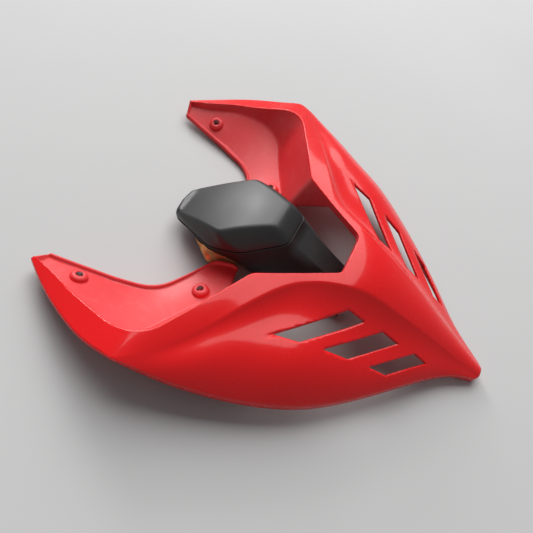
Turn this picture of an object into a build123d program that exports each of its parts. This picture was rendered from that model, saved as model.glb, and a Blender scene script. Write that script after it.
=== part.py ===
from build123d import *
from collections import namedtuple
import os

# Motorcycle tail fairing, lying as it rests on a floor. X points to the rider's right,
# Y forward along the two arms, Z up. The origin is on the floor below the middle.

# Driving dimensions of the red moulding, millimetres
wall = 2.5              # skin of the moulding
below = -60.0           # level that every solid block is built down to
above = 100.0           # level that every cutter is built up to
beyond = 300.0          # plan distance that is outside the part on every side
fold_return = 5.0       # turned-down edge round the central opening
lip_height = 2.0        # rim above the tray floor

# Plan of the outer edge on the right side, from the tail to the arm's tip
tail = (8.0, -191.0)
flank_edge = [(22.5, -164), (54, -130), (87, -98), (120, -60), (150, -5), (167, 46)]
corner = (175.0, 84.0)
arm_edge = [(169.5, 113), (160, 137), (141.5, 170)]
arm_tip = (126.5, 191.0)
arm_tip_inner = (111.0, 184.5)
tail_r = 4.0

# Height of the free edge along the flank's skirt and the arm's outer side, as (y, z)
edge_heights = [(-210, -4), (-175, 7), (-164, 11), (-130, 15), (-98, 15), (-60, 15), (-5, 22),
                (46, 32), (84, 41), (113, 31), (137, 25), (170, 16), (215, 3)]

# Fold line round the opening and the two trays, plan of the right side
fold_tip = (112.0, 215.0)
fold_arm = (141.5, 152.0)
fold_corner = (159.5, 90.5)
fold_bend = (64.0, 33.5)
fold_rear = (21.5, -30.5)
fold_corner_r = 16.0
fold_bend_r = 14.0
fold_rear_r = 6.0
fold_level = 52.0       # height at which the plan above holds
tray_level = 10.0       # lower height, where the tray's walls have moved in
tray_corner = (158.0, 106.0)
tray_bend = (54.0, 45.0)
tray_rear = (17.0, -24.0)

# Free edge of the tray, plan of the right side
lip_mid = (99.0, 133.0)
lip_low = (88.0, 98.0)
tongue_front = (37.0, 70.0)
tongue_rear = (32.0, 46.0)
tongue_root = (75.0, 41.0)
lip_mid_r = 60.0
lip_low_r = 14.0
tongue_r = 7.0
web_low = (47.0, 11.0)  # low end of the side web's slanted edge, as (y, z)
web_high = (1.0, 60.0)  # where that edge reaches the fold

# Screw bosses in the trays: centre of the top face and the way it looks, right side
Boss = namedtuple("Boss", "top up")
bosses = [
    Boss((117.0, 152.5, 14.5), (-0.40, 0.05, 0.92)),
    Boss((72.5, 65.0, 14.0), (-0.03, 0.33, 0.94)),
]
boss_r = 7.5
boss_height = 9.0
boss_edge_r = 1.6
insert_r = 4.0
insert_bore_r = 2.5
insert_length = 8.0
insert_stand = 0.3      # the insert's end stands this far above the boss

# Three slanted slots in each flank
slot_inner = (43.5, -52.0)      # inner front corner of the first slot
slot_inner_run = (-4.7, -34.7)  # from one slot's inner corner to the next
slot_outer = (97.5, -6.0)       # outer front corner of the first slot
slot_outer_run = (-13.0, -40.8)
slot_widths = [16.5, 16.5, 13.5]
slot_inner_slant = (-0.8, -16.5)
slot_outer_slant = (-6.5, -21.5)
slot_corner_r = 1.0

# Cap in the opening: a flat top that falls forward, above a seam plane that falls less
seam_rear = (19.0, 57.2)        # rear end of the seam, as (y, z)
seam_tilt = 23.9                # degrees
seam_outline = [(19.0, 0.0), (42.0, 50.0), (24.0, 117.0)]
seam_radii = [5.0, 14.0, 16.0]
top_rear = (38.0, 68.2)         # rear end of the flat top, as (y, z)
top_tilt = 30.6
top_outline = [(17.0, 0.0), (36.0, 42.0), (19.0, 96.0)]
top_radii = [3.0, 6.0, 5.0]
cap_wall = 2.5
cap_screw_places = [32.0, 78.0] # along the seam from its rear end
cap_boss_r = 4.5
cap_bite = 5.0          # length of thread in the cap's bosses

# Housing below the cap, open at its foot, with a ridge running back under the roof
housing_wall = 2.5
housing_foot_z = 8.0
housing_foot = [(24.0, -40.0), (29.0, 55.0), (14.0, 100.0)]
housing_foot_radii = [5.0, 20.0, 9.0]
ridge_front = (24.0, 53.0)      # top of the ridge behind the cap, as (y, z)
ridge_rear = (-52.0, 28.0)
ridge_half = 14.5
ridge_foot_half = 22.0

# Roof bosses of the moulding and the pads of the housing that are screwed to them
roof_boss_place = (8.0, -41.0)
roof_boss_r = 6.0
roof_boss_end = 35.0            # height where boss and pad meet
pad_r = 6.5
pad_height = 9.0
screw_r = 2.0
screw_hole_r = 2.4
screw_head_r = 4.2
screw_head = 2.6
roof_bite = 12.0                # length of thread in the roof bosses
socket_r = 1.8
socket_depth = 1.6

# Heat-reflecting foil stuck to the housing's left side, below the cap
foil = 0.5
foil_glue = 0.3         # adhesive between foil and housing
foil_rear = 44.0
foil_front = 88.0
foil_low = 9.5
foil_high = 22.0

# One station of the skin: spine height, a point on the roof, the crease, the flank and its roll
Station = namedtuple("Station", "y spine roof crease flank shoulder rim")
stations = [
    Station(-204, 6, (2.5, 5.6), (5, 4), (6.5, 3), (8, 1.5), (11, -2)),
    Station(-179, 17, (4, 16.4), (7.5, 14.8), (10.5, 13.5), (13.5, 12), (18, 8)),
    Station(-153, 28, (5, 27.5), (10.5, 26), (20, 21.7), (28, 18.2), (36, 11)),
    Station(-127, 40, (7, 39.4), (14.5, 37.4), (33, 30), (50, 24.2), (62, 15)),
    Station(-92, 54.5, (10, 53.8), (20.5, 51.7), (56, 37.5), (84, 28), (97.5, 16)),
    Station(-59, 65, (13, 64.4), (26, 62.4), (75, 44), (109, 33), (125.5, 17.5)),
    Station(-27, 66.5, (18, 66), (37, 64), (90, 48.8), (128, 37.7), (144.5, 21.5)),
    Station(1, 64.5, (36, 63.2), (57, 60.5), (100, 50.2), (140, 40), (157, 24.5)),
    Station(21, 63.5, (52, 61.5), (88, 57.7), (122, 50), (149, 41.8), (165, 27.5)),
    Station(41, 62.5, (76, 59.5), (124.5, 51), (142, 47), (159, 42), (172, 30.5)),
    Station(61, 60, (110, 55.2), (153.5, 47), (162, 44.8), (169.5, 42), (179, 34)),
    Station(84, 55, (140, 50.2), (175, 44.5), (181, 42), (187, 39), (196, 33)),
    Station(106, 48, (150, 40.6), (188, 33.5), (194, 31), (200, 28), (210, 21)),
    Station(131, 40, (147, 32.7), (200, 22.5), (206, 20), (212, 17), (222, 10)),
    Station(150, 35.5, (141.5, 27.8), (195, 13), (201, 10), (207, 7), (217, 0)),
    Station(170, 30, (133, 22.4), (190, 2), (196, -1), (202, -4), (212, -11)),
    Station(190, 25, (125, 17), (185, -8), (191, -11), (197, -14), (207, -21)),
    Station(212, 19, (115, 11), (180, -18), (186, -21), (192, -24), (202, -31)),
]

# Tray floor, each row a straight line in section: its y, then two points (x, z)
floor_rows = [
    (215, (107, 7.7), (135, 16.5)),
    (170, (107, 6.2), (137, 18.5)),
    (141, (100, 3.9), (145, 25.7)),
    (118, (93, 2.5), (152, 26.7)),
    (98, (83, 2.5), (156, 22.7)),
    (66, (35, 10), (130, 13)),
    (15, (35, 11), (130, 12)),
]
sheet_near = 5.0        # the floor's sheet runs between these two x
sheet_far = 190.0


def both(right):
    """A right-hand solid together with its mirror image."""
    return right + mirror(right, about=Plane.YZ)


def near_y(places, y):
    """The corners of an outline that lie at this y."""
    return [v for v in places if abs(v.Y - y) < 0.1]


def skin_block(drop):
    """Solid under the outer surface, lowered by drop, lofted through the stations."""
    with BuildPart() as block:
        for s in stations:
            right = [(x, z - drop) for x, z in (s.crease, s.flank, s.shoulder, s.rim)]
            left = [(-x, z) for x, z in right]
            roof = (s.roof[0], s.roof[1] - drop)
            with BuildSketch(Plane.XZ.offset(-s.y)):
                with BuildLine():
                    Spline(left[0], (-roof[0], roof[1]), (0, s.spine - drop), roof, right[0])
                    Spline(*right)
                    Polyline(right[-1], (s.rim[0], below), (-s.rim[0], below), left[-1])
                    Spline(*reversed(left))
                make_face()
        loft()
    return block.part


def floor_sheet(up, down):
    """Sheet along the right tray's floor, from up above it to down below it."""
    with BuildPart() as sheet:
        for y, low, high in floor_rows:
            slope = (high[1] - low[1]) / (high[0] - low[0])
            near = low[1] - slope * (low[0] - sheet_near)
            far = low[1] + slope * (sheet_far - low[0])
            with BuildSketch(Plane.XZ.offset(-y)):
                with BuildLine():
                    Polyline((sheet_near, near + up), (sheet_far, far + up), (sheet_far, far - down),
                             (sheet_near, near - down), close=True)
                make_face()
        loft()
    return sheet.part


def moved_in(path, distance):
    """Plan path moved to its left by a distance, without its two ends."""
    corners = [Vector(*p) for p in path]
    moved = []
    for before, here, after in zip(corners, corners[1:], corners[2:]):
        ways = (here - before).normalized(), (after - here).normalized()
        first, second = (Vector(-way.Y, way.X) for way in ways)
        moved.append(here + (first + second) * (distance / (1 + first.dot(second))))
    return moved


def edge_column(inset):
    """Column inside the right half of the outer edge, inset by a distance."""
    path = [(-wall, tail[1]), tail, *flank_edge, corner, *arm_edge, arm_tip, arm_tip_inner,
            (-wall, arm_tip_inner[1])]
    path = moved_in(path, inset)
    turn = len(flank_edge) + 1
    with BuildPart() as column:
        with BuildSketch(Plane.XY.offset(below)):
            with BuildLine():
                Spline(*path[:turn + 1])
                Spline(*path[turn:-1])
                Polyline(path[-2], path[-1], (-wall, path[-1].Y), (-wall, path[0].Y), path[0])
            make_face()
            fillet([v for v in near_y(vertices(), path[0].Y) if v.X > 0], tail_r - inset)
            with BuildLine():
                Polyline((0, beyond), (0, -beyond), (beyond, -beyond), (beyond, beyond), close=True)
            make_face(mode=Mode.INTERSECT)
        extrude(amount=above - below)
    return column.part


def leaned(high, low, z):
    """Plan point at height z on the straight line through its two given levels."""
    t = (z - tray_level) / (fold_level - tray_level)
    return low[0] + t * (high[0] - low[0]), low[1] + t * (high[1] - low[1])


def fold_column(grow, bottom=-10.0, top=80.0):
    """Leaning column inside the fold line, both sides, grown by a distance."""
    with BuildPart() as column:
        for z in (bottom, top):
            far = leaned(fold_corner, tray_corner, z)
            bend = leaned(fold_bend, tray_bend, z)
            rear = leaned(fold_rear, tray_rear, z)
            with BuildSketch(Plane.XY.offset(z)):
                with BuildLine():
                    Polyline((0, fold_tip[1]), fold_tip, fold_arm, far, bend, rear, (0, rear[1]))
                    mirror(about=Plane.YZ)
                make_face()
                fillet(near_y(vertices(), far[1]), fold_corner_r)
                fillet(near_y(vertices(), bend[1]), fold_bend_r)
                fillet(near_y(vertices(), rear[1]), fold_rear_r)
                if grow:
                    offset(amount=grow, kind=Kind.INTERSECTION)
        loft(ruled=True)
    return column.part


def lip_column(grow):
    """Column of the open side of the right tray's free edge, grown by a distance."""
    with BuildPart() as column:
        with BuildSketch(Plane.XY.offset(below)):
            with BuildLine():
                Polyline((0, 260), (300, 260), arm_tip, arm_tip_inner, lip_mid, lip_low, tongue_front,
                         tongue_rear, tongue_root, (tongue_root[0], -60), (0, -60), close=True)
            make_face()
            fillet(near_y(vertices(), arm_tip_inner[1]), 4)
            fillet(near_y(vertices(), lip_mid[1]), lip_mid_r)
            fillet(near_y(vertices(), lip_low[1]), lip_low_r)
            fillet(near_y(vertices(), tongue_front[1]), tongue_r)
            fillet(near_y(vertices(), tongue_rear[1]), tongue_r)
            if grow:
                offset(amount=grow, kind=Kind.INTERSECTION)
        extrude(amount=above - below)
    return column.part


def side_block(points):
    """Solid across the whole width, from a closed side view of (y, z) points."""
    with BuildPart() as block:
        with BuildSketch(Plane.YZ):
            with BuildLine():
                Polyline(*points, close=True)
            make_face()
        extrude(amount=beyond, both=True)
    return block.part


def slot_block():
    """The slanted slots of the right flank, as cutters."""
    with BuildPart() as cutter:
        with BuildSketch(Plane.XY):
            for i, width in enumerate(slot_widths):
                share = width / slot_widths[0]
                inner = Vector(*slot_inner) + Vector(*slot_inner_run) * i
                outer = Vector(*slot_outer) + Vector(*slot_outer_run) * i
                inner_rear = inner + Vector(*slot_inner_slant) * share
                outer_rear = outer + Vector(*slot_outer_slant) * share
                with BuildLine():
                    Polyline(inner, outer, outer_rear, inner_rear, close=True)
                make_face()
            fillet(vertices(), slot_corner_r)
        extrude(amount=above)
    return cutter.part


def mirrored_outline(right, radii):
    """Flat face from the corners of its right half, each pair of corners rounded."""
    left = [(-x, y) for x, y in reversed(right)]
    with BuildSketch() as outline:
        with BuildLine():
            Polyline(*right, *left, close=True)
        make_face()
        for (x, y), r in zip(right, radii):
            fillet(near_y(vertices(), y), r)
    return outline.sketch


def tilted(rear, tilt):
    """Plane that falls forward by tilt degrees, its local y along the slope from rear."""
    return Plane(origin=(0, rear[0], rear[1]), x_dir=(1, 0, 0),
                 z_dir=Vector(0, 0, 1).rotate(Axis.X, -tilt))


def cap_block(inset):
    """The cap's outer form, or its hollow when inset."""
    with BuildPart() as block:
        for rear, tilt, outline, radii in ((seam_rear, seam_tilt, seam_outline, seam_radii),
                                           (top_rear, top_tilt, top_outline, top_radii)):
            with BuildSketch(tilted(rear, tilt).offset(-inset)):
                add(mirrored_outline(outline, radii))
                if inset:
                    offset(amount=-inset)
        loft(ruled=True)
    return block.part


def housing_block(inset, grow=0.0):
    """The housing's outer form, or its hollow when inset, or a form grown sideways."""
    side = grow - inset
    with BuildPart() as block:
        with BuildSketch(Plane.XY.offset(housing_foot_z)):
            add(mirrored_outline(housing_foot, housing_foot_radii))
            if side:
                offset(amount=side)
        with BuildSketch(tilted(seam_rear, seam_tilt).offset(-inset)):
            add(mirrored_outline(seam_outline, seam_radii))
            if side:
                offset(amount=side)
        loft(ruled=True)
        for (y, z), end in ((ridge_front, 0), (ridge_rear, inset)):
            high = (ridge_half - inset, z - inset)
            low = (ridge_foot_half - inset, housing_foot_z)
            with BuildSketch(Plane.XZ.offset(-y - end)):
                with BuildLine():
                    Polyline(high, low, (-low[0], low[1]), (-high[0], high[1]), close=True)
                make_face()
        loft(ruled=True)
    return block.part


def post(plane, radius, height):
    """Round solid that stands on a plane, or hangs below it when the height is negative."""
    with BuildPart(plane) as block:
        Cylinder(radius, abs(height), align=(Align.CENTER, Align.CENTER,
                                            Align.MIN if height > 0 else Align.MAX))
    return block.part


def tray_boss(boss):
    """Round boss whose top edge is rounded, on the right side."""
    with BuildPart(Plane(origin=boss.top, z_dir=boss.up)) as block:
        Cylinder(boss_r, boss_height, align=(Align.CENTER, Align.CENTER, Align.MAX))
        fillet(block.edges().group_by(Axis(boss.top, boss.up))[-1], boss_edge_r)
    return block.part


def threaded_insert(boss):
    """Metal bush in a tray boss, on the right side."""
    seat = Plane(origin=boss.top, z_dir=boss.up).offset(insert_stand)
    with BuildPart(seat) as bush:
        Cylinder(insert_r, insert_length, align=(Align.CENTER, Align.CENTER, Align.MAX))
        chamfer(bush.edges().group_by(Axis(boss.top, boss.up))[-1], 0.4)
        Cylinder(insert_bore_r, 3 * insert_length, mode=Mode.SUBTRACT)
    return bush.part


def screw(seat, length):
    """Socket screw driven up through a seat: its head hangs below the seat plane."""
    with BuildPart(seat) as body:
        Cylinder(screw_r, length, align=(Align.CENTER, Align.CENTER, Align.MIN))
        Cylinder(screw_head_r, screw_head, align=(Align.CENTER, Align.CENTER, Align.MAX))
        with BuildSketch(seat.offset(-screw_head)):
            RegularPolygon(socket_r, 6)
        extrude(amount=socket_depth, mode=Mode.SUBTRACT)
    return body.part


def save(shape, name):
    """Write one node's solids to its own file."""
    shape.label = name
    export_step(shape, f"parts/{name}.step")


os.makedirs("parts", exist_ok=True)

# Right half of the red moulding: skin, turned-down fold edge, tray with its bosses, slots
right_edge = edge_column(0)
skin = skin_block(0) & right_edge
inner = skin_block(wall) & edge_column(wall)
pocket = fold_column(0)
pocket_wall = fold_column(wall)
under_edge = side_block([*edge_heights, (beyond, below - 5), (-beyond, below - 5), (-beyond, 0)])
shell = skin - inner - pocket - under_edge
ring = (pocket_wall - pocket) & skin
fold_edge = ring - skin_block(fold_return)
lips = lip_column(0)
plate = floor_sheet(0, wall) & ((pocket_wall & right_edge) - lips)
rim = floor_sheet(lip_height, wall / 2) & ((pocket & right_edge & lip_column(wall)) - lips)
web = side_block([web_low, web_high, (-80, web_high[1]), (-80, below), (web_low[0], below)])
tray_wall = ring - web - floor_sheet(-wall / 2, 80)
tray_wall = ShapeList(tray_wall.solids()).sort_by(SortBy.VOLUME)[-1]
half = shell + fold_edge + plate + rim + tray_wall
for boss in bosses:
    half = half + tray_boss(boss)
for boss in bosses:
    half = half - post(Plane(origin=boss.top, z_dir=boss.up), insert_r, -2 * boss_height)
half = half - slot_block()
roof_seat = Plane(origin=(*roof_boss_place, roof_boss_end))
half = half + (post(roof_seat, roof_boss_r, above) & skin_block(wall / 2))
half = half - post(roof_seat, screw_r, roof_bite)
fairing = both(half)
save(fairing, "tail_fairing")

# Metal bushes of the four tray bosses
bushes = [threaded_insert(boss) for boss in bosses]
bushes = bushes + [mirror(bush, about=Plane.YZ) for bush in bushes]
save(Compound(children=bushes), "threaded_inserts")

# Hollow cap with two bosses that the cap screws bite into
cap = cap_block(0) - cap_block(cap_wall)
seam = tilted(seam_rear, seam_tilt)
seats = [Plane(origin=seam.from_local_coords((0, y, 0)), x_dir=seam.x_dir, z_dir=seam.z_dir)
         for y in cap_screw_places]
for seat in seats:
    cap = cap + (post(seat, cap_boss_r, above) & cap_block(cap_wall / 2))
    cap = cap - post(seat, screw_r, cap_bite)
save(cap, "centre_cap")

# Housing with its two pads and the holes of the screws
housing = housing_block(0) - housing_block(housing_wall)
housing = housing + both(post(roof_seat, pad_r, -pad_height))
housing = housing - both(post(roof_seat, screw_hole_r, -pad_height))
for seat in seats:
    housing = housing - post(seat, screw_hole_r, -2 * housing_wall)
save(housing, "centre_housing")

# Screws: two up through the pads into the roof, two up through the housing into the cap
roof_screw = screw(roof_seat.offset(-pad_height), pad_height + roof_bite)
save(Compound(children=[roof_screw, mirror(roof_screw, about=Plane.YZ)]), "housing_screws")
cap_screws = [screw(seat.offset(-housing_wall), housing_wall + cap_bite) for seat in seats]
save(Compound(children=cap_screws), "cap_screws")

# Foil on the left side of the housing
patch = Box(beyond, foil_front - foil_rear, foil_high - foil_low,
            align=(Align.MAX, Align.MIN, Align.MIN))
patch = Pos(0, foil_rear, foil_low) * patch
foil_strip = (housing_block(0, foil_glue + foil) - housing_block(0, foil_glue)) & patch
save(foil_strip, "heat_foil")
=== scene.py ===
import bmesh
import bpy
import math
import numpy as np
from mathutils import Euler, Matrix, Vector


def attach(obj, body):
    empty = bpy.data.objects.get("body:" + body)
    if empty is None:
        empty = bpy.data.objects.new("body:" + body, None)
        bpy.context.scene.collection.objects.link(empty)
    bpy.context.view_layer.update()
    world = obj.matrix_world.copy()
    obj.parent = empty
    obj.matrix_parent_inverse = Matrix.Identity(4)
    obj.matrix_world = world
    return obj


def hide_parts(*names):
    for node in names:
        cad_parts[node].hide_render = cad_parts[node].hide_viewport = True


# Motorcycle tail fairing on a pale floor. Shapes are worked out in millimetres, X to the
# rider's right, Y forward along the arms, Z up, and scaled to metres when a mesh is made.

MM = 0.001
MERGE = 0.03            # points nearer than this become one
SOFT = 6                # points of a rounded corner
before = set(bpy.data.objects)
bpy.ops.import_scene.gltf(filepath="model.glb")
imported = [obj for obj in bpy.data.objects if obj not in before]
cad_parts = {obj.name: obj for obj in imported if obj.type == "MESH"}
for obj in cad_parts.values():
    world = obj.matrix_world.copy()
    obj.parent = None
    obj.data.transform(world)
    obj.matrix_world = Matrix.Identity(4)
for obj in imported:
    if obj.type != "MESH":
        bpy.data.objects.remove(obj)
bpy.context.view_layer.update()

# Red moulding: places near those of its solid, in millimetres, some moved to the photograph's
WALL = 2.5
FOLD_RETURN = 5.0       # how far the edge of the opening is turned down
LIP_HEIGHT = 2.0        # rim along the free edge of the trays
LIP_WIDTH = 2.5
LIP_LEAN = 0.5
TIP_RIM_HEIGHT = 4.2    # the same rim where it meets the wall at the arm's end
FOLD_ROUND = 1.7
FOOT_ROUND = 9.0
EDGE_ROUND = 1.6
TAIL_ROUND = 4.0
EASE = 12.0             # distance, or number of rungs, over which a rounding fades in

# y, spine height, then (x, z) of a roof point, the crease, the flank, its shoulder and its rim
STATIONS = np.array([
    (-204, 6, 2.5, 5.6, 5, 4, 6.5, 3, 8, 1.5, 11, -2),
    (-179, 17, 4, 16.4, 7.5, 14.8, 10.5, 13.5, 13.5, 12, 18, 8),
    (-153, 28, 5, 27.5, 10.5, 26, 20, 21.7, 28, 18.2, 36, 11),
    (-127, 40, 7, 39.4, 14.5, 37.4, 33, 30, 50, 24.2, 62, 15),
    (-92, 54.5, 10, 53.8, 20.5, 51.7, 56, 37.5, 84, 28, 97.5, 16),
    (-59, 65, 13, 64.4, 26, 62.4, 75, 44, 109, 33, 125.5, 17.5),
    (-27, 66.5, 18, 66, 37, 64, 90, 48.8, 128, 37.7, 144.5, 21.5),
    (1, 64.5, 36, 63.2, 57, 60.5, 100, 50.2, 140, 40, 157, 24.5),
    (21, 63.5, 52, 61.5, 88, 57.7, 122, 50, 149, 41.8, 165, 27.5),
    (41, 62.5, 76, 59.5, 124.5, 51, 142, 47, 159, 42, 172, 30.5),
    (61, 60, 110, 55.2, 153.5, 47, 162, 44.8, 169.5, 42, 179, 34),
    (84, 55, 140, 50.2, 175, 44.5, 181, 42, 187, 39, 196, 33),
    (106, 48, 150, 40.6, 188, 33.5, 194, 31, 200, 28, 210, 21),
    (131, 40, 147, 32.7, 200, 22.5, 206, 20, 212, 17, 222, 10),
    (150, 35.5, 141.5, 27.8, 195, 13, 201, 10, 207, 7, 217, 0),
    (170, 30, 133, 22.4, 190, 2, 196, -1, 202, -4, 212, -11),
    (190, 25, 125, 17, 185, -8, 191, -11, 197, -14, 207, -21),
    (212, 19, 115, 11, 180, -18, 186, -21, 192, -24, 202, -31)], float)

TAIL = (8.0, -191.0)
FLANK_EDGE = [(22.5, -164), (54, -130), (87, -98), (120, -60), (150, -5), (167, 46)]
CORNER = (175.0, 84.0)
ARM_EDGE = [(169.5, 113), (160, 137), (141.5, 170)]
ARM_TIP = (126.5, 191.0)
ARM_TIP_INNER = (111.0, 184.5)
EDGE_HEIGHTS = np.array([
    (-210, -4), (-175, 7), (-164, 11), (-130, 15), (-98, 15), (-60, 15), (-5, 22),
    (46, 32), (84, 41), (113, 31), (137, 25), (170, 16), (215, 3)], float)

# Fold round the opening and the trays, at its own level and at the trays' level
FOLD_END = (123.8, 189.9)
FOLD_HIGH = [(0, -30.5), (21.5, -30.5), (62, 33), (159, 77), (145.5, 146), FOLD_END]
FOLD_LOW = [(0, -24), (17, -24), (54, 43), (147, 92), (133, 150), FOLD_END]
FOLD_RADII = [9, 12, 32, 60]
FOLD_LEVEL = 52.0
TRAY_LEVEL = 10.0

# Slanted lower edge of the wall behind the trays: two points (y, z) of its line
WEB_LOW = (47.0, 11.0)
WEB_HIGH = (1.0, 60.0)

# Tray floor: rows of y and two points (x, z) of a straight line, and the free edge in plan
FLOOR_ROWS = np.array([
    (215, 107, 7.7, 135, 16.5), (170, 107, 6.2, 137, 18.5), (141, 100, 3.9, 145, 25.7),
    (118, 93, 2.5, 152, 26.7), (98, 83, 2.5, 156, 22.7), (66, 35, 10, 130, 13),
    (15, 35, 11, 130, 12)], float)
FLOOR_MIDDLE_X = 100.0
LIP = [(32, 46), (37, 70), (88, 98), (99, 133), ARM_TIP_INNER]
LIP_RADII = [7, 7, 40, 60]

# Tongue: the tray's rear edge runs from the lip's first point outwards and back
TONGUE_FALL = 5 / 43

# Slots of the flank: the first slot's inner and outer end, the run to the next slot's, and the
# slant of both ends across the slot's width
SLOT_INNER = np.array((43.5, -52.0))
SLOT_INNER_RUN = np.array((-4.7, -34.7))
SLOT_OUTER = np.array((97.5, -6.0))
SLOT_OUTER_RUN = np.array((-13.0, -40.8))
SLOT_WIDTHS = [16.5, 16.5, 13.5]
SLOT_INNER_SLANT = np.array((-0.8, -16.5))
SLOT_OUTER_SLANT = np.array((-6.5, -21.5))


def curve_through(knots, values):
    """Natural cubic spline through values at knots. Its second derivatives come from one linear
    system, and each span is the cubic with those bends and the span's end values."""
    knots = np.asarray(knots, float)
    values = np.asarray(values, float).reshape(len(knots), -1)
    step = np.diff(knots)
    inner = np.arange(1, len(knots) - 1)
    system = np.eye(len(knots))
    system[inner, inner - 1] = step[:-1]
    system[inner, inner] = 2 * (step[:-1] + step[1:])
    system[inner, inner + 1] = step[1:]
    slopes = np.diff(values, axis=0) / step[:, None]
    load = np.zeros_like(values)
    load[1:-1] = 6 * np.diff(slopes, axis=0)
    bend = np.linalg.solve(system, load)

    def at(t):
        """Values of the spline at t, held at the end values outside the knots."""
        t = np.clip(t, knots[0], knots[-1])
        k = np.clip(np.searchsorted(knots, t) - 1, 0, len(knots) - 2)
        width = step[k][..., None]
        a = ((knots[k + 1] - t) / step[k])[..., None]
        b = 1 - a
        cubic = ((a ** 3 - a) * bend[k] + (b ** 3 - b) * bend[k + 1]) * width ** 2 / 6
        return a * values[k] + b * values[k + 1] + cubic

    return at


station_at = curve_through(STATIONS[:, 0], STATIONS[:, 1:])
flank_path = [TAIL, *FLANK_EDGE, CORNER]
flank_x = curve_through([p[1] for p in flank_path], [p[0] for p in flank_path])
arm_path = [CORNER, *ARM_EDGE, ARM_TIP]
arm_x = curve_through([p[1] for p in arm_path], [p[0] for p in arm_path])


def skin(x, y):
    """Height of the outer surface over a plan point. The roof's section is an even quartic
    through spine, roof point and crease; the flank's is the cubic through its four points."""
    s = station_at(y)
    spine, roof_x, roof_z, crease_x, crease_z = (s[..., i] for i in range(5))
    share = (roof_x / crease_x) ** 2
    four = ((roof_z - spine) / share - (crease_z - spine)) / (share - 1)
    two = crease_z - spine - four
    u = (x / crease_x) ** 2
    roof = spine + two * u + four * u * u
    xs = [s[..., i] for i in (3, 5, 7, 9)]
    zs = [s[..., i] for i in (4, 6, 8, 10)]
    flank = np.zeros_like(roof)
    for i in range(4):
        weight = np.ones_like(roof)
        for j in range(4):
            if j != i:
                weight = weight * (x - xs[j]) / (xs[i] - xs[j])
        flank = flank + zs[i] * weight
    return np.where(x < crease_x, roof, flank)


def crease_x(y):
    """Plan place of the crease between roof and flank, which meets the outer edge at the corner."""
    return np.minimum(station_at(y)[..., 3], CORNER[0])


def rounded(points, radii, steps=16):
    """Plan path of straight runs joined by arcs that touch both runs. Run k spans the
    parameters 2k to 2k + 1, and the arc after it 2k + 1 to 2k + 2."""
    points = [np.array(p, float) for p in points]
    knots, places = [0.0], [points[0]]
    for k, radius in enumerate(radii):
        before, here, after = points[k:k + 3]
        back = (before - here) / np.linalg.norm(before - here)
        ahead = (after - here) / np.linalg.norm(after - here)
        half = math.acos(np.clip(back @ ahead, -1, 1)) / 2
        middle = (back + ahead) / np.linalg.norm(back + ahead)
        centre = here + middle * radius / math.sin(half)
        start = here + back * radius / math.tan(half) - centre
        end = here + ahead * radius / math.tan(half) - centre
        turn = math.pi - 2 * half
        for i in range(steps + 1):
            f = i / steps
            arm = (math.sin((1 - f) * turn) * start + math.sin(f * turn) * end) / math.sin(turn)
            knots.append(2 * k + 1 + f)
            places.append(centre + arm)
    knots.append(2 * len(radii) + 1.0)
    places.append(points[-1])
    knots, places = np.array(knots), np.array(places)
    return lambda t: np.stack([np.interp(t, knots, places[:, i]) for i in (0, 1)], -1)


def even_stops(path, stops, counts):
    """Parameters that walk a path from stop to stop, each stretch in equal steps of length."""
    out = [np.array([stops[0]], float)]
    for a, b, n in zip(stops, stops[1:], counts):
        fine = np.linspace(a, b, 400)
        run = np.linalg.norm(np.diff(path(fine), axis=0), axis=1)
        length = np.concatenate([[0], np.cumsum(run)])
        out.append(np.interp(np.linspace(0, length[-1], n + 1)[1:], length, fine))
    return np.concatenate(out)


def floor_height(x, y):
    """Height of the tray floor: each row is a straight line, and the rows are joined by splines."""
    row = tray_row_at(y)
    return row[..., 0] + row[..., 1] * (x - FLOOR_MIDDLE_X)


row_slopes = (FLOOR_ROWS[:, 4] - FLOOR_ROWS[:, 2]) / (FLOOR_ROWS[:, 3] - FLOOR_ROWS[:, 1])
row_levels = FLOOR_ROWS[:, 2] + row_slopes * (FLOOR_MIDDLE_X - FLOOR_ROWS[:, 1])
tray_row_at = curve_through(FLOOR_ROWS[::-1, 0], np.stack([row_levels, row_slopes], -1)[::-1])
fold_high = rounded(FOLD_HIGH, FOLD_RADII)
fold_low = rounded(FOLD_LOW, FOLD_RADII)


def wall_point(t, z):
    """The inner wall leans: its plan place goes from the fold's path to the tray's with height."""
    lean = ((FOLD_LEVEL - z) / (FOLD_LEVEL - TRAY_LEVEL))[..., None]
    plan = fold_high(t) * (1 - lean) + fold_low(t) * lean
    return np.concatenate([plan, z[..., None]], -1)


def fold_top(t):
    """Where the leaning wall meets the skin, found by going back and forth four times."""
    z = np.full(t.shape, FOLD_LEVEL)
    for _ in range(4):
        p = wall_point(t, z)
        z = skin(p[..., 0], p[..., 1])
    return wall_point(t, z)


def wall_foot(t):
    """Lower end of the inner wall: the tray floor, the web's slanted edge or the fold's return.
    The wall leans, so its foot is found in steps, each half of the way that is left."""
    web_slope = (WEB_HIGH[1] - WEB_LOW[1]) / (WEB_HIGH[0] - WEB_LOW[0])
    top = fold_top(t)[..., 2]
    z = top - FOLD_RETURN
    for _ in range(8):
        p = wall_point(t, z)
        web = WEB_LOW[1] + (p[..., 1] - WEB_LOW[0]) * web_slope
        floor = floor_height(p[..., 0], p[..., 1])
        z = 0.5 * z + 0.5 * np.minimum(top - FOLD_RETURN, np.maximum(web, floor))
    return wall_point(t, z)


def between(a, b, shares):
    """Rows of points from a to b, one row for each share of the way."""
    return a[None] + (b - a)[None] * np.asarray(shares)[:, None, None]


def on_skin(plan):
    """Plan points lifted to the outer surface."""
    return np.concatenate([plan, skin(plan[..., 0], plan[..., 1])[..., None]], -1)


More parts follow.
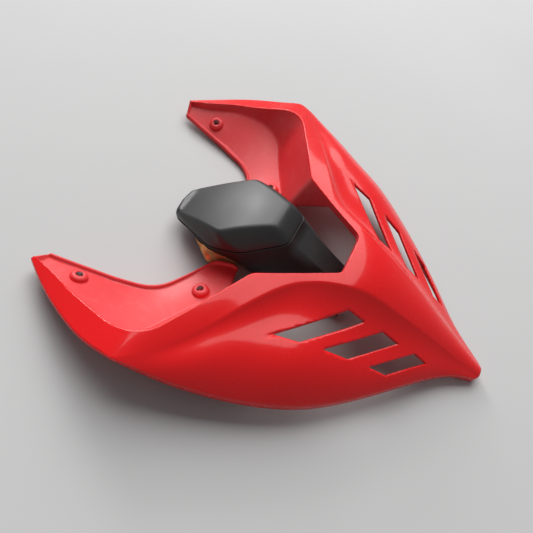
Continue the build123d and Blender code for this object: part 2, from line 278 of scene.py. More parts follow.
def round_tail(plan):
    """Draw the tail's rear corner forward to its arc; the draw fades out within a few millimetres."""
    past = np.clip(plan[..., 0] - (TAIL[0] - TAIL_ROUND), 0, TAIL_ROUND)
    shift = TAIL_ROUND - np.sqrt(TAIL_ROUND ** 2 - past ** 2)
    plan[..., 1] += shift * np.exp((TAIL[1] - plan[..., 1]) / TAIL_ROUND)
    return plan


def soften_row(grid, k, radius):
    """Round the corner that row k makes with its neighbours: the corner's points are replaced by
    a quadratic curve that leaves and meets the neighbouring runs at the radius's distance."""
    here = grid[k]
    ends = []
    for side in (grid[k - 1], grid[k + 1]):
        way = side - here
        length = np.linalg.norm(way, axis=-1, keepdims=True)
        reach = np.minimum(np.asarray(radius).reshape(-1, 1), 0.9 * length)
        ends.append(here + way / np.maximum(length, 1e-6) * reach)
    f = np.linspace(0, 1, SOFT)[:, None, None]
    rows = ends[0] * (1 - f) ** 2 + here * 2 * f * (1 - f) + ends[1] * f ** 2
    return np.concatenate([grid[:k], rows, grid[k + 1:]])


class Sheet:
    """Grids of points collected into one mesh, as a rule a right half and its mirrored left."""

    def __init__(self):
        self.points, self.faces, self.kinds, self.count = [], [], [], 0

    def grid(self, points, kinds, keep=None, turned=False):
        """Add rows by columns of points; kinds gives a material index for each row of faces."""
        rows, columns = points.shape[:2]
        index = np.arange(rows * columns).reshape(rows, columns) + self.count
        quads = np.stack([index[:-1, :-1], index[:-1, 1:], index[1:, 1:], index[1:, :-1]], -1)
        if turned:
            quads = quads[..., ::-1]
        kinds = np.broadcast_to(np.asarray(kinds).reshape(-1, 1), quads.shape[:2])
        if keep is None:
            keep = np.ones(quads.shape[:2], bool)
        self.points.append(points.reshape(-1, 3))
        self.faces.append(quads[keep])
        self.kinds.append(kinds[keep])
        self.count += rows * columns

    def mesh(self, name, mirrored=True):
        """One object of all grids."""
        points, faces = np.concatenate(self.points), np.concatenate(self.faces)
        kinds = np.concatenate(self.kinds)
        if mirrored:
            faces = np.concatenate([faces, faces[:, ::-1] + len(points)])
            points = np.concatenate([points, points * (-1, 1, 1)])
            kinds = np.concatenate([kinds, kinds])
        return make_mesh(name, points, faces, kinds)


def make_mesh(name, points, faces, kinds):
    """One object at the origin from millimetre points and quads, doubles merged, shaded smooth."""
    data = bpy.data.meshes.new(name)
    data.from_pydata((points * MM).tolist(), [], faces.tolist())
    data.polygons.foreach_set("material_index", kinds.astype(np.int32))
    work = bmesh.new()
    work.from_mesh(data)
    bmesh.ops.remove_doubles(work, verts=work.verts, dist=MERGE * MM)
    bmesh.ops.dissolve_degenerate(work, edges=work.edges, dist=MERGE * MM / 2)
    work.to_mesh(data)
    work.free()
    data.polygons.foreach_set("use_smooth", np.ones(len(data.polygons), bool))
    data.update()
    piece = bpy.data.objects.new(name, data)
    bpy.context.scene.collection.objects.link(piece)
    return piece


def walled(piece, thickness, offset=-1):
    """Give a sheet its wall, inwards as a rule, and return the modifier."""
    solid = piece.modifiers.new("wall", "SOLIDIFY")
    solid.thickness = thickness * MM
    solid.offset = offset
    return solid


# Rungs: parameters along the fold, each paired with a far point on the crease or the arm's edge
BAND_ROWS = 13
WALL_ROWS = 9
FLOOR_ROW_COUNT = 16
CORNER_STOP = 5.5
fine = np.linspace(2.5, 4.0, 300)
foot_path = wall_foot(fine)
tongue_rear = LIP[0][1] - (foot_path[:, 0] - LIP[0][0]) * TONGUE_FALL
floor_start = float(np.interp(0, foot_path[:, 1] - tongue_rear, fine))
rungs = even_stops(fold_high, [0, 1.5, floor_start, CORNER_STOP, 7.5, 9], [16, 52, 78, 52, 32])
far_y = np.interp(rungs, [0, 1.5, 3.5, CORNER_STOP, 7.5, 9],
                  [-58, -38, 21, CORNER[1], 159, ARM_TIP[1]])
far_x = np.where(rungs <= CORNER_STOP, crease_x(far_y), arm_x(far_y)[:, 0])
far = on_skin(np.stack([far_x, far_y], -1))
top = fold_top(rungs)
foot = wall_foot(rungs)
at_floor = int(np.argmin(np.abs(rungs - floor_start)))
at_corner = int(np.argmin(np.abs(rungs - CORNER_STOP)))

# Rows of the wall, from its foot to the fold, and of the band from the fold to the far points
heights = foot[:, 2] + (top[:, 2] - foot[:, 2]) * np.linspace(0, 1, WALL_ROWS)[:, None]
wall_rows = wall_point(np.broadcast_to(rungs, heights.shape), heights)
plan = between(top[:, :2], far[:, :2], np.linspace(0, 1, BAND_ROWS))
band_rows = on_skin(plan)
band_rows[0] = top

# Rows of the tray: the free edge's drop, its lip and the lip's inner side, then the floor
lip_path = rounded([foot[at_floor, :2], *LIP], LIP_RADII)
lip_stops = np.interp(rungs, [floor_start, 4.3, 4.85, 5.9, 7.5, 9], [1.5, 3.5, 5.5, 7.5, 8.4, 9])
lip_at = lip_path(lip_stops)
inward = foot[:, :2] - lip_at
inward = inward / np.maximum(np.linalg.norm(inward, axis=-1, keepdims=True), 1e-6)
plan = between(lip_at + inward * LIP_WIDTH, foot[:, :2], np.linspace(0, 1, FLOOR_ROW_COUNT))
floor_rows = np.concatenate([plan, floor_height(plan[..., 0], plan[..., 1])[..., None]], -1)
floor_rows[-1] = foot
lean = np.concatenate([inward * LIP_LEAN, inward[:, :1] * 0], -1)
ledge = floor_rows[0] + np.array((0, 0, LIP_HEIGHT)) - lean
lip_row = np.concatenate([lip_at, floor_rows[:1, :, 2].T + LIP_HEIGHT], -1)
drop = lip_row - (0, 0, 2 * LIP_HEIGHT)
tray_rows = np.concatenate([drop[None], lip_row[None], ledge[None], floor_rows])

# The last two rungs carry the rim round the arm's end, up to the wall
rim_heights = np.linspace(LIP_HEIGHT, TIP_RIM_HEIGHT, len(floor_rows))
tray_rows[-len(floor_rows):, -2:, 2] += rim_heights[:, None]
wall_rows[:, -2:, 2] = np.maximum(wall_rows[:, -2:, 2], tray_rows[-1, -2:, 2])


def skirt_under(edge):
    """Rows below the outer edge, halfway and down to the free edge's height."""
    low = np.interp(edge[:, 1], EDGE_HEIGHTS[:, 0], EDGE_HEIGHTS[:, 1])
    bottom = np.stack([edge[:, 0], edge[:, 1], np.minimum(low, edge[:, 2] - 0.5)], -1)
    return between(edge, bottom, [0.5, 1])


def slot_corners():
    """The four plan corners of each slot, front inner corner first."""
    for i, width in enumerate(SLOT_WIDTHS):
        share = width / SLOT_WIDTHS[0]
        inner = SLOT_INNER + SLOT_INNER_RUN * i
        outer = SLOT_OUTER + SLOT_OUTER_RUN * i
        rear = (outer + SLOT_OUTER_SLANT * share, inner + SLOT_INNER_SLANT * share)
        yield np.array([inner, outer, *rear])


def cut_slots(grid):
    """Leave out the faces inside each slot, and draw the vertices round it to the slot's outline."""
    plan = grid[..., :2]
    centre = (plan[:-1, :-1] + plan[1:, :-1] + plan[:-1, 1:] + plan[1:, 1:]) / 4
    keep = np.ones(centre.shape[:2], bool)
    for corners in slot_corners():
        inside = np.ones_like(keep)
        for a, b in zip(corners, np.roll(corners, -1, axis=0)):
            way = b - a
            inside &= (centre[..., 0] - a[0]) * way[1] - (centre[..., 1] - a[1]) * way[0] > 0
        keep &= ~inside
        padded = np.pad(inside, 1)
        touching = [padded[:-1, :-1], padded[1:, :-1], padded[:-1, 1:], padded[1:, 1:]]
        edge = np.any(touching, axis=0) & ~np.all(touching, axis=0)
        points = plan[edge]
        best, gap = points.copy(), np.full(len(points), 1e9)
        for a, b in zip(corners, np.roll(corners, -1, axis=0)):
            way = b - a
            share = np.clip(((points - a) @ way) / (way @ way), 0, 1)
            foot_on = a + share[:, None] * way
            distance = np.linalg.norm(points - foot_on, axis=-1)
            best[distance < gap] = foot_on[distance < gap]
            gap = np.minimum(gap, distance)
        for corner in corners:
            best[np.argmin(np.linalg.norm(points - corner, axis=-1))] = corner
        plan[edge] = best
    return on_skin(plan), keep


def faded(distance):
    """Share of a rounding that is 0 at a place and full beyond a distance from it."""
    return np.clip(distance / EASE, 0, 1)


SPINE_COLUMNS = 96
TAIL_COLUMNS = 4        # columns at the tail's end, which no slot moves
FLANK_ROWS = 50
FLANK_STEPS = 600


def build_fairing():
    """The whole moulding as one sheet of grids, given its wall by a Solidify modifier."""
    sheet = Sheet()
    a, c = at_floor, at_corner
    fold = WALL_ROWS - 1
    fold_end = fold + SOFT - 1

    # Opening's rear part: turned-down edge, fold and roof up to the crease
    part = np.concatenate([wall_rows[:-1, :a + 1], band_rows[:, :a + 1]])
    part = soften_row(part, fold, FOLD_ROUND)
    first_rung = part[:, 0]
    sheet.grid(part, [1] * fold + [0] * (len(part) - 1 - fold), turned=True)
    arc = part[fold:fold_end + 1, :1]
    sheet.grid(np.concatenate([arc, arc * (0, 1, 1)], 1), [0] * (SOFT - 1))

    # From the tongue to the corner: tray, wall, fold and roof
    tray_foot = len(tray_rows) - 1
    satin = tray_foot + fold_end
    front = np.concatenate([tray_rows[:-1], wall_rows[:-1], band_rows])
    part = soften_row(front[:, a:c + 1], tray_foot + fold, FOLD_ROUND)
    part = soften_row(part, tray_foot, FOOT_ROUND * faded(np.arange(c - a + 1)))
    sheet.grid(part, [1] * satin + [0] * (len(part) - 1 - satin), turned=True)

    # Arm: tray, wall, fold, band, outer edge and skirt
    part = front[:, c:]
    part = np.concatenate([part, skirt_under(part[-1])])
    part = soften_row(part, len(front) - 1, EDGE_ROUND * faded(np.abs(far_y[c:] - CORNER[1])))
    part = soften_row(part, tray_foot + fold, FOLD_ROUND)
    part = soften_row(part, tray_foot, FOOT_ROUND)
    sheet.grid(part, [1] * satin + [0] * (len(part) - 1 - satin), turned=True)

    # Spine: from the middle to the crease, between the tail and the opening
    outward = first_rung[fold_end:]
    spine_y = np.linspace(TAIL[1], outward[0, 1], SPINE_COLUMNS)
    crease_y = np.linspace(TAIL[1], far_y[0], SPINE_COLUMNS)
    inner = np.stack([spine_y * 0, spine_y], -1)
    outer = np.stack([crease_x(crease_y), crease_y], -1)
    part = on_skin(round_tail(between(inner, outer, np.linspace(0, 1, len(outward) + 1))))
    part[0, -1] = outward[0] * (0, 1, 1)
    part[1:, -1] = outward
    sheet.grid(part, [0] * (len(part) - 1), turned=True)
    tail_rung = part[:, 0]

    # Flank: from the crease to the outer edge and its skirt, with the slots
    crease = np.concatenate([part[-1, :-1], band_rows[-1, :c + 1]])
    run = np.linalg.norm(np.diff(crease[:, :2], axis=0), axis=1)
    share = np.concatenate([[0], np.cumsum(run)]) / run.sum()
    fine_y = np.linspace(TAIL[1] + TAIL_ROUND, CORNER[1], FLANK_STEPS)
    fine_x = flank_x(fine_y)[:, 0]
    run = np.hypot(np.diff(fine_x), np.diff(fine_y))
    length = np.concatenate([[0], np.cumsum(run)]) / run.sum()
    outer = np.stack([np.interp(share, length, fine_x), np.interp(share, length, fine_y)], -1)
    part = on_skin(between(crease[:, :2], outer, np.linspace(0, 1, FLANK_ROWS)))
    part[0] = crease
    lifted, keep = cut_slots(part)
    lifted[:, :TAIL_COLUMNS] = part[:, :TAIL_COLUMNS]
    ends = np.minimum(np.abs(outer[:, 1] - TAIL[1]), np.abs(outer[:, 1] - CORNER[1]))
    part = np.concatenate([lifted, skirt_under(lifted[-1])])
    part = soften_row(part, len(lifted) - 1, EDGE_ROUND * faded(ends))
    below = np.ones((len(part) - 1 - len(keep), keep.shape[1]), bool)
    sheet.grid(part, [0] * (len(part) - 1), keep=np.concatenate([keep, below]), turned=True)

    # Tail's end, straight down from the first rung
    edge = np.concatenate([tail_rung, lifted[1:, 0]])
    sheet.grid(np.concatenate([edge[None], skirt_under(edge)]), [0, 0], turned=True)

    piece = sheet.mesh("fairing_moulding")
    solid = walled(piece, WALL)
    solid.use_even_offset = True
    solid.thickness_clamp = 0
    # Back faces take the next material; behind the trays that is the darker red of painted shade.
    solid.material_offset = 1
    return piece


fairing = build_fairing()


# Cap and the housing below it: the seam's plane, and a top that is arched lengthways. The
# seam's corners are rounded, and its stops number the ends of its straight runs and arcs.
SEAM_REAR = (19.0, 57.2)
SEAM_TILT = math.radians(23.9)
SEAM_OUTLINE = [(0, -1.5), (19, -1.5), (41.5, 34), (42.5, 62), (16, 113), (0, 114.5)]
SEAM_RADII = [11, 22, 30, 9]
SEAM_MIDDLE = (0, 52.0)
TOP_OUTLINE = [(0, 35.6), (15, 35.6), (37.5, 75.5), (16.5, 123), (0, 124.5)]
TOP_RADII = [7, 6, 8]
TOP_MIDDLE = (0, 74.0)
TOP_ROWS = 14
CAP_MIDDLE = (0, 72.0, 40.0)
TOP_LINE = np.array([(36, 68.0), (56, 61.5), (75, 52.3), (98, 38.0), (121, 21.5)])
TOP_ROUND = 3.0
TOP_CROWN = 1.5
TOP_HALF_WIDTH = 37.5
SIDE_ROWS = 6
SIDE_BULGE = 1.6
CAP_LIFT = 0.9          # gap between the cap's lower edge and the seam's plane
HOUSING_ROWS = 9
HOUSING_WALL = 2.2
SEAM_ROUND = 0.5
FOOT_LEVEL = 8.0
RIDGE_COLUMNS = 14
RIDGE_SPREAD = 1.5

# Lower edge of the housing against the seam's stops: the ridge's end, then round the open foot
HOUSING_LOW = np.array([
    (0, 0, -52, 27.5), (1, 11, -52, 27.3), (2, 20, -50, 8), (3, 27, 0, 8), (4, 28.5, 28, 8),
    (5, 25.5, 46, 8), (5.6, 26, 57, 8), (6, 28.8, 66, 8), (6.45, 29.8, 81, 8), (6.6, 28, 86, 8),
    (7, 17, 97, 8), (8, 13, 102, 8), (9, 0, 103, 8)])
FOIL_STOPS = (5.0, 6.5)
FOIL_HEIGHTS = (16.2, 3.6)
FOIL_FLARE = 0.5
FOIL_LIFT = 0.3
FOIL_GAUGE = 0.25

top_height = curve_through(TOP_LINE[:, 0], TOP_LINE[:, 1])


def on_seam(plan, lift=0.0):
    """Points of the seam's plane, which falls forward, lifted square to it."""
    x, y = plan[..., 0], plan[..., 1]
    along = SEAM_REAR[0] + y * math.cos(SEAM_TILT) + lift * math.sin(SEAM_TILT)
    up = SEAM_REAR[1] - y * math.sin(SEAM_TILT) + lift * math.cos(SEAM_TILT)
    return np.stack([x, along, up], -1)


def on_top(plan):
    """Points of the cap's top: arched along its length and slightly crowned across."""
    x, y = plan[..., 0], plan[..., 1]
    z = top_height(y)[..., 0] - TOP_CROWN * (x / TOP_HALF_WIDTH) ** 2
    return np.stack([x, y, z], -1)


seam_path = rounded(SEAM_OUTLINE, SEAM_RADII)
seam_stops = even_stops(seam_path, range(10), [8, 10, 14, 12, 10, 12, 16, 12, 9])
seam_plan = seam_path(seam_stops)


def drawn_in(plan, distance):
    """Plan of the seam moved towards its middle by a distance."""
    inward = np.array(SEAM_MIDDLE) - plan
    return plan + inward / np.linalg.norm(inward, axis=-1, keepdims=True) * distance


def housing_rim(plan):
    """Top of the housing's wall, just below the seam."""
    return on_seam(drawn_in(plan, -0.3), -1.0)


def housing_low(stops):
    """Lower edge of the housing's wall at the seam's stops."""
    places = [np.interp(stops, HOUSING_LOW[:, 0], HOUSING_LOW[:, k]) for k in (1, 2, 3)]
    return np.stack(places, -1)


def build_cap():
    """Rings from below the seam, up the slanted sides and over the top to its middle."""
    top_path = rounded(TOP_OUTLINE, TOP_RADII)
    top_stops = np.interp(seam_stops, range(10), [0, 1, 2, 3, 3.7, 4.3, 5, 5.6, 6.4, 7])
    top_plan = top_path(top_stops)
    seam = on_seam(seam_plan, CAP_LIFT)
    shares = np.linspace(0, 1, SIDE_ROWS)
    sides = between(seam, on_top(top_plan), shares)
    away = sides - np.array(CAP_MIDDLE)
    away = away / np.linalg.norm(away, axis=-1, keepdims=True)
    bulge = 4 * shares * (1 - shares) * SIDE_BULGE
    rows = [on_seam(drawn_in(seam_plan, 2.4), CAP_LIFT), on_seam(drawn_in(seam_plan, 0.8), 0.4)]
    rows += list(sides + away * bulge[:, None, None])
    for f in np.linspace(0, 1, TOP_ROWS)[1:]:
        rows.append(on_top(top_plan + (np.array(TOP_MIDDLE) - top_plan) * f))
    grid = soften_row(np.array(rows), SIDE_ROWS + 1, TOP_ROUND)
    grid = soften_row(grid, 2, SEAM_ROUND)
    sheet = Sheet()
    sheet.grid(grid, [0] * (len(grid) - 1))
    return sheet.mesh("cap_shell")


def build_housing():
    """One wall that falls from the seam: to the foot at its sides, along a ridge at its rear."""
    low = housing_low(seam_stops)
    rows = [on_seam(drawn_in(seam_plan, distance), -0.1) for distance in (7, 1.5, -0.5)]
    rows += list(between(housing_rim(seam_plan), low, np.linspace(0, 1, HOUSING_ROWS)))
    grid = soften_row(np.array(rows), 2, SEAM_ROUND)
    sheet = Sheet()
    sheet.grid(grid, [0] * (len(grid) - 1), turned=True)
    ridge = low[:RIDGE_COLUMNS]
    spread = ridge * (RIDGE_SPREAD, 1, 0) + (0, 0, FOOT_LEVEL)
    sheet.grid(between(ridge, spread, [0, 0.5, 1]), [0] * 2, turned=True)
    piece = sheet.mesh("housing_shell")
    walled(piece, HOUSING_WALL)
    return piece


def zigzag(u):
    """Triangle wave between 0 and 1 with a period of 2."""
    return np.abs(np.mod(u, 2) - 1)


def build_foil():
    """Foil on the low left of the housing's wall, lifted off it by two sets of crossing folds."""
    t = np.linspace(*FOIL_STOPS, 90)
    rim = housing_rim(seam_path(t))
    low = housing_low(t)
    z = np.linspace(*FOIL_HEIGHTS, 26)[:, None]
    grid = rim + (low - rim) * ((rim[:, 2] - z) / (rim[:, 2] - low[:, 2]))[..., None]
    along = grid[..., 1]
    folds = 0.5 * zigzag(along / 7.3 + z / 9.1 + 0.6 * np.sin(along / 7))
    folds = folds + 0.35 * zigzag(along / 5.7 - z / 4.3)
    outward = np.gradient(grid, axis=1)
    outward = np.stack([outward[..., 1], -outward[..., 0], outward[..., 2] * 0], -1)
    outward = outward / np.linalg.norm(outward, axis=-1, keepdims=True)
    flare = FOIL_FLARE * (FOIL_HEIGHTS[0] - z) * np.clip((along - 52) / 16, 0, 1)
    folds = folds * np.clip((along - 50) / 12, 0, 1)
    grid = (grid + outward * (FOIL_LIFT + folds + flare)[..., None]) * (-1, 1, 1)
    sheet = Sheet()
    sheet.grid(grid, [0] * (len(grid) - 1))
    piece = sheet.mesh("foil_strip", mirrored=False)
    walled(piece, FOIL_GAUGE, 1)
    return piece


def lathe(profile, top, up, turns=48):
    """Profile of (radius, height) points carried round an axis that starts at top and points up."""
    up = np.array(up) / np.linalg.norm(up)
    side = np.cross(up, (0, 1, 0))
    side = side / np.linalg.norm(side)
    other = np.cross(up, side)
    angle = np.linspace(0, 2 * math.pi, turns + 1)
    profile = np.array(profile, float)
    circle = np.cos(angle)[:, None] * side + np.sin(angle)[:, None] * other
    return np.array(top) + profile[:, :1, None] * circle[None] + profile[:, 1:, None] * up


BOSSES = [((117.0, 152.5, 14.5), (-0.40, 0.05, 0.92)), ((72.5, 65.0, 14.0), (-0.03, 0.33, 0.94))]
BOSS_PROFILE = [(4.02, -6), (4.02, 0.32), (2.95, 0.34), (2.85, 0.5), (3.1, 0.95), (4.2, 1.0),
                (5.4, 0.75), (6.5, 0.1), (7.1, -0.5), (7.4, -1.4), (7.5, -2.2), (7.6, -2.8),
                (8.0, -3.4), (8.9, -4.0), (10.2, -4.6), (11.0, -6)]
ROOF_POST = (8.0, -41.0)
ROOF_POST_PROFILE = [(2.1, 64), (2.1, 35), (5.4, 35), (6, 35.6), (6, 60), (7, 62.5), (7.5, 64.5)]
PAD_PROFILE = [(2.4, 34.9), (2.4, 26), (6.5, 26), (6.5, 34.9), (2.4, 34.9)]
THREAD_RADIUS = 2.52
THREAD_WAVE = 0.16
THREAD_PITCH = 0.8


def build_bosses():
    """Round screw bosses of the trays, each with a small flare where it meets the floor."""
    sheet = Sheet()
    for place, up in BOSSES:
        sheet.grid(lathe(BOSS_PROFILE, place, up), [0] * (len(BOSS_PROFILE) - 1), turned=True)
    post = lathe(ROOF_POST_PROFILE, (*ROOF_POST, 0), (0, 0, 1))
    sheet.grid(post, [0] * (len(ROOF_POST_PROFILE) - 1))
    return sheet.mesh("tray_bosses")


def build_pads():
    """Pads of the housing that the roof's two posts stand on."""
    sheet = Sheet()
    sheet.grid(lathe(PAD_PROFILE, (*ROOF_POST, 0), (0, 0, 1)), [0] * (len(PAD_PROFILE) - 1))
    return sheet.mesh("housing_pads")


def build_inserts():
    """Metal bushes: a turned end face, and a bore whose wall waves in and out as a thread does."""
    depth = np.linspace(0, 7.0, 57)
    radius = THREAD_RADIUS + THREAD_WAVE * np.cos(2 * math.pi * depth / THREAD_PITCH)
    profile = [(3.98, -5), (3.98, -0.1), (3.65, 0.28), (3.3, 0.3), (2.8, 0.3), (2.65, 0.1),
               *zip(radius, -0.1 - depth), (1.2, -7.6), (0.01, -7.6)]
    sheet = Sheet()
    for place, up in BOSSES:
        sheet.grid(lathe(profile, place, up), [0] * (len(profile) - 1), turned=True)
    return sheet.mesh("insert_bushes")


cap = build_cap()
housing = build_housing()
pads = build_pads()
bosses = build_bosses()
inserts = build_inserts()
foil = build_foil()


class Signal:
    """A socket in a material, so that shader maths reads as Python expressions."""

    def __init__(self, graph, socket):
        self.graph, self.socket = graph, socket

    def maths(self, operation, other):
        """Signal of one maths node that joins this signal with another signal or a number."""
        return self.graph.node("ShaderNodeMath", {"operation": operation}, {0: self, 1: other})

    def __add__(self, other):
        return self.maths("ADD", other)

    def __mul__(self, other):
        return self.maths("MULTIPLY", other)


class Finish:
    """One material: a Principled shader and the nodes that feed it."""

    def __init__(self, name, **fixed):
        self.material = bpy.data.materials.new(name)
        self.material.use_nodes = True
        self.tree = self.material.node_tree
        self.shader = self.tree.nodes["Principled BSDF"]
        for socket, value in fixed.items():
            self.shader.inputs[socket.replace("_", " ")].default_value = value

    def node(self, kind, settings=None, inputs=None, output=0):
        """Make a node, set its settings, then its inputs, and give one output as a Signal."""
        made = self.tree.nodes.new(kind)
        for key, value in (settings or {}).items():
            setattr(made, key, value)
        for key, value in (inputs or {}).items():
            if isinstance(value, Signal):
                self.tree.links.new(value.socket, made.inputs[key])
            else:
                made.inputs[key].default_value = value
        return Signal(self, made.outputs[output])

    def place(self):
        """Object coordinates, in metres."""
        return self.node("ShaderNodeTexCoord", output="Object")

    def noise(self, scale, detail=3.0, stretch=None):
        """Noise of so many lumps to the metre, stretched where a direction's share is small."""
        where = self.place()
        if stretch:
            where = self.node("ShaderNodeMapping", None, {"Vector": where, "Scale": stretch})
        inputs = {"Vector": where, "Scale": scale, "Detail": detail}
        return self.node("ShaderNodeTexNoise", None, inputs)

    def spread(self, signal, low, high, bottom=0.0, top=1.0):
        """Signal mapped from low..high to bottom..top, clamped."""
        inputs = {"Value": signal, "From Min": low, "From Max": high,
                  "To Min": bottom, "To Max": top}
        return self.node("ShaderNodeMapRange", None, inputs)

    def blend(self, share, first, second):
        """Mix of two colours."""
        made = self.tree.nodes.new("ShaderNodeMix")
        made.data_type = "RGBA"
        for number, value in ((0, share), (6, first), (7, second)):
            if isinstance(value, Signal):
                self.tree.links.new(value.socket, made.inputs[number])
            else:
                made.inputs[number].default_value = (*value, 1)
        return Signal(self, made.outputs[2])

    def feed(self, **links):
        """Link signals to the shader's sockets."""
        for socket, signal in links.items():
            self.tree.links.new(signal.socket, self.shader.inputs[socket.replace("_", " ")])

    def relief(self, height, depth_mm, strength=1.0):
        """Bump of a given depth that feeds the shader's normal."""
        inputs = {"Height": height, "Distance": depth_mm * MM, "Strength": strength}
        self.feed(Normal=self.node("ShaderNodeBump", None, inputs))


def gloss_red():
    """Lacquered red: even colour with a slight cloud, a clear coat, and faint hairline scuffs."""
    f = Finish("gloss red", Coat_Weight=0.42, Coat_Roughness=0.08, Coat_IOR=1.5, Specular_IOR_Level=0.12)
    cloud = f.spread(f.noise(9, 2), 0.35, 0.65)
    colour = f.blend(cloud, (0.82, 0.005, 0.007), (0.87, 0.007, 0.010))
    scuff = f.noise(420, 2, (1.0, 0.08, 0.3))
    patch = f.spread(f.noise(24, 2), 0.60, 0.72)
    hair = f.spread(scuff, 0.66, 0.70) * patch
    colour = f.blend(hair * 0.18, colour, (0.85, 0.20, 0.19))
    f.feed(Base_Color=colour, Roughness=f.spread(f.noise(60), 0.3, 0.7, 0.22, 0.30) + hair * 0.25)
    f.relief(f.noise(900, 1), 0.004, 0.25)
    return f.material


def satin_red(name, base, shade):
    """Unlacquered moulded face: dull red with a fine grain and a little handling wear."""
    f = Finish(name, Specular_IOR_Level=0.35)
    cloud = f.spread(f.noise(14, 4), 0.3, 0.7)
    dust = f.spread(f.noise(130, 5), 0.5, 0.75)
    colour = f.blend(dust * 0.07, f.blend(cloud, shade, base), (0.85, 0.35, 0.34))
    f.feed(Base_Color=colour, Roughness=f.spread(cloud, 0, 1, 0.36, 0.40))
    f.relief(f.noise(2600, 2), 0.03, 0.5)
    return f.material


def cap_black():
    """Satin black plastic with a fine moulded grain, paler where hands have rubbed it."""
    f = Finish("cap black", Specular_IOR_Level=0.5)
    cloud = f.spread(f.noise(22, 4), 0.35, 0.7)
    grain = f.node("ShaderNodeTexVoronoi", None, {"Vector": f.place(), "Scale": 1500.0}, "Distance")
    f.feed(Base_Color=f.blend(cloud, (0.011, 0.0105, 0.010), (0.019, 0.018, 0.017)),
           Roughness=f.spread(cloud, 0, 1, 0.34, 0.42) + grain * 0.05)
    f.relief(grain, 0.05, 0.4)
    return f.material


def housing_black():
    """Plain black moulding, duller than the cap, with dust in its hollows."""
    f = Finish("housing black")
    dust = f.spread(f.noise(70, 5), 0.5, 0.8)
    f.feed(Base_Color=f.blend(dust * 0.2, (0.010, 0.010, 0.010), (0.05, 0.047, 0.043)),
           Roughness=f.spread(f.noise(30), 0.3, 0.7, 0.42, 0.55))
    f.relief(f.noise(2200, 2), 0.03, 0.5)
    return f.material


def gold_foil():
    """Creased foil: flat facets between sharp folds, browned in places."""
    f = Finish("gold foil", Metallic=0.7)
    crease = f.node("ShaderNodeTexVoronoi", None, {"Vector": f.place(), "Scale": 95.0}, "Distance")
    stain = f.spread(f.noise(60, 4), 0.4, 0.7)
    f.feed(Base_Color=f.blend(stain, (0.85, 0.56, 0.22), (0.52, 0.31, 0.13)),
           Roughness=f.spread(stain, 0, 1, 0.25, 0.5))
    f.relief(crease, 0.5, 0.6)
    return f.material


def turned_steel(name, colour, rough):
    """Machined steel: rings of tool marks and a little staining."""
    f = Finish(name, Metallic=1.0)
    marks = f.noise(3500, 1, (1.0, 1.0, 0.05))
    stain = f.spread(f.noise(500, 3), 0.5, 0.8)
    f.feed(Base_Color=f.blend(stain * 0.5, colour, tuple(c * 0.45 for c in colour)),
           Roughness=f.spread(stain, 0, 1, rough, rough + 0.15))
    f.relief(marks, 0.02, 0.5)
    return f.material


red = gloss_red()
tray_red = satin_red("tray red", (0.80, 0.040, 0.046), (0.72, 0.030, 0.036))
# Back faces of the satin trays and walls: the trays' satin red made darker, which paints shade into
# their colour.
shaded_inside_red = satin_red("inside red painted shade", (0.50, 0.02, 0.024), (0.42, 0.015, 0.018))
steel = turned_steel("insert steel", (0.30, 0.29, 0.28), 0.30)
dark_steel = turned_steel("screw steel", (0.18, 0.18, 0.18), 0.35)

housing_finish = housing_black()

for material in (red, tray_red, shaded_inside_red):
    fairing.data.materials.append(material)
for piece, material, node, slot in (
        (fairing, None, "tail_fairing", "fairing_red"),
        (bosses, tray_red, None, "fairing_red"),
        (cap, cap_black(), "centre_cap", "cap_black"),
        (housing, housing_finish, "centre_housing", "housing_black"),
        (pads, housing_finish, None, "housing_black"),
        (inserts, steel, "threaded_inserts", "insert_steel"),
        (foil, gold_foil(), "heat_foil", "foil_gold")):
    if material:
        piece.data.materials.append(material)
    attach(piece, "root")
    if node:
        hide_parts(node)
for node, material in (("housing_screws", dark_steel), ("cap_screws", dark_steel)):
    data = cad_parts[node].data
    data.materials.clear()
    data.materials.append(material)

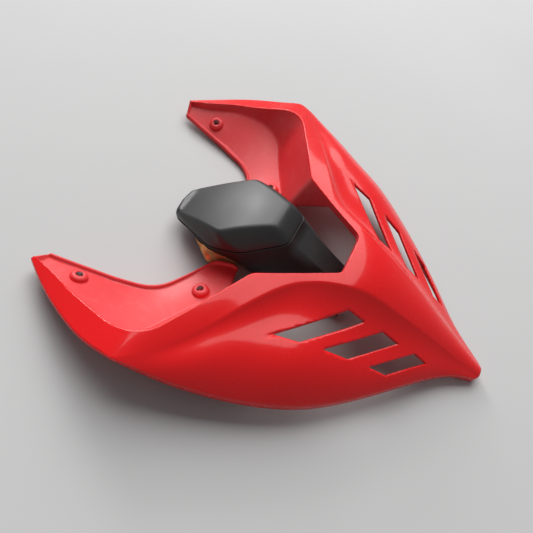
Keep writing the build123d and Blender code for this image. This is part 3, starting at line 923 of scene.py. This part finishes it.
# Pale floor that the object stands on, wide enough for every view
FLOOR_HALF = 8.0
floor_corners = [(-1, -1), (1, -1), (1, 1), (-1, 1)]
floor_points = [(x * FLOOR_HALF, y * FLOOR_HALF, 0) for x, y in floor_corners]
floor_data = bpy.data.meshes.new("floor")
floor_data.from_pydata(floor_points, [], [(0, 1, 2, 3)])
ground = bpy.data.objects.new("floor", floor_data)
ground.location.z = -0.0002
bpy.context.scene.collection.objects.link(ground)
paper = Finish("pale floor", Roughness=0.9, Specular_IOR_Level=0.1)
cloud = paper.spread(paper.noise(3, 2), 0.3, 0.7)
paper.feed(Base_Color=paper.blend(cloud, (0.60, 0.60, 0.595), (0.62, 0.62, 0.615)))
floor_data.materials.append(paper.material)


def soft_light(name, place, aim, size, power):
    """Area light at a place in metres, turned towards a point."""
    data = bpy.data.lights.new(name, "AREA")
    data.shape = "RECTANGLE"
    data.size, data.size_y = size
    data.energy = power
    lamp = bpy.data.objects.new(name, data)
    lamp.location = place
    lamp.rotation_euler = (Vector(aim) - Vector(place)).to_track_quat("-Z", "Y").to_euler()
    bpy.context.scene.collection.objects.link(lamp)


soft_light("ceiling", (2.08, 0.96, 2.88), (0, 0.05, 0), (3.8, 3.8), 160)
soft_light("window", (1.73, 1.76, 1.0), (0.03, 0.05, 0.04), (0.8, 0.8), 24)

world = bpy.data.worlds.new("room")
world.use_nodes = True
room = world.node_tree.nodes["Background"]
room.inputs["Color"].default_value = (0.95, 0.97, 1.0, 1)
ROOM_LIGHT = 0.18
BACKDROP = 0.42
nodes, links = world.node_tree.nodes, world.node_tree.links
seen = nodes.new("ShaderNodeLightPath")
total = room.inputs["Strength"]
for ray in ("Is Camera Ray", "Is Glossy Ray", "Is Transmission Ray"):
    step = nodes.new("ShaderNodeMath")
    step.operation = "MULTIPLY_ADD"
    links.new(seen.outputs[ray], step.inputs[0])
    step.inputs[1].default_value = BACKDROP - ROOM_LIGHT
    step.inputs[2].default_value = ROOM_LIGHT if ray == "Is Transmission Ray" else 0
    links.new(step.outputs[0], total)
    total = step.inputs[2]
bpy.context.scene.world = world

# Camera at the photograph's place, found from the object's own outline
CAMERA_PLACE = (-0.30795, 0.00384, 0.40282)
CAMERA_TURN = (34.0641, -15.1180, -64.4394)
CAMERA_LENS = 36.0675
camera = bpy.data.cameras.new("camera")
camera.lens = CAMERA_LENS
camera.sensor_width = 36.0
camera.clip_start = 0.01
viewer = bpy.data.objects.new("camera", camera)
viewer.location = CAMERA_PLACE
viewer.rotation_euler = Euler([math.radians(a) for a in CAMERA_TURN])
bpy.context.scene.collection.objects.link(viewer)
bpy.context.scene.camera = viewer
bpy.context.scene.view_settings.view_transform = "Standard"
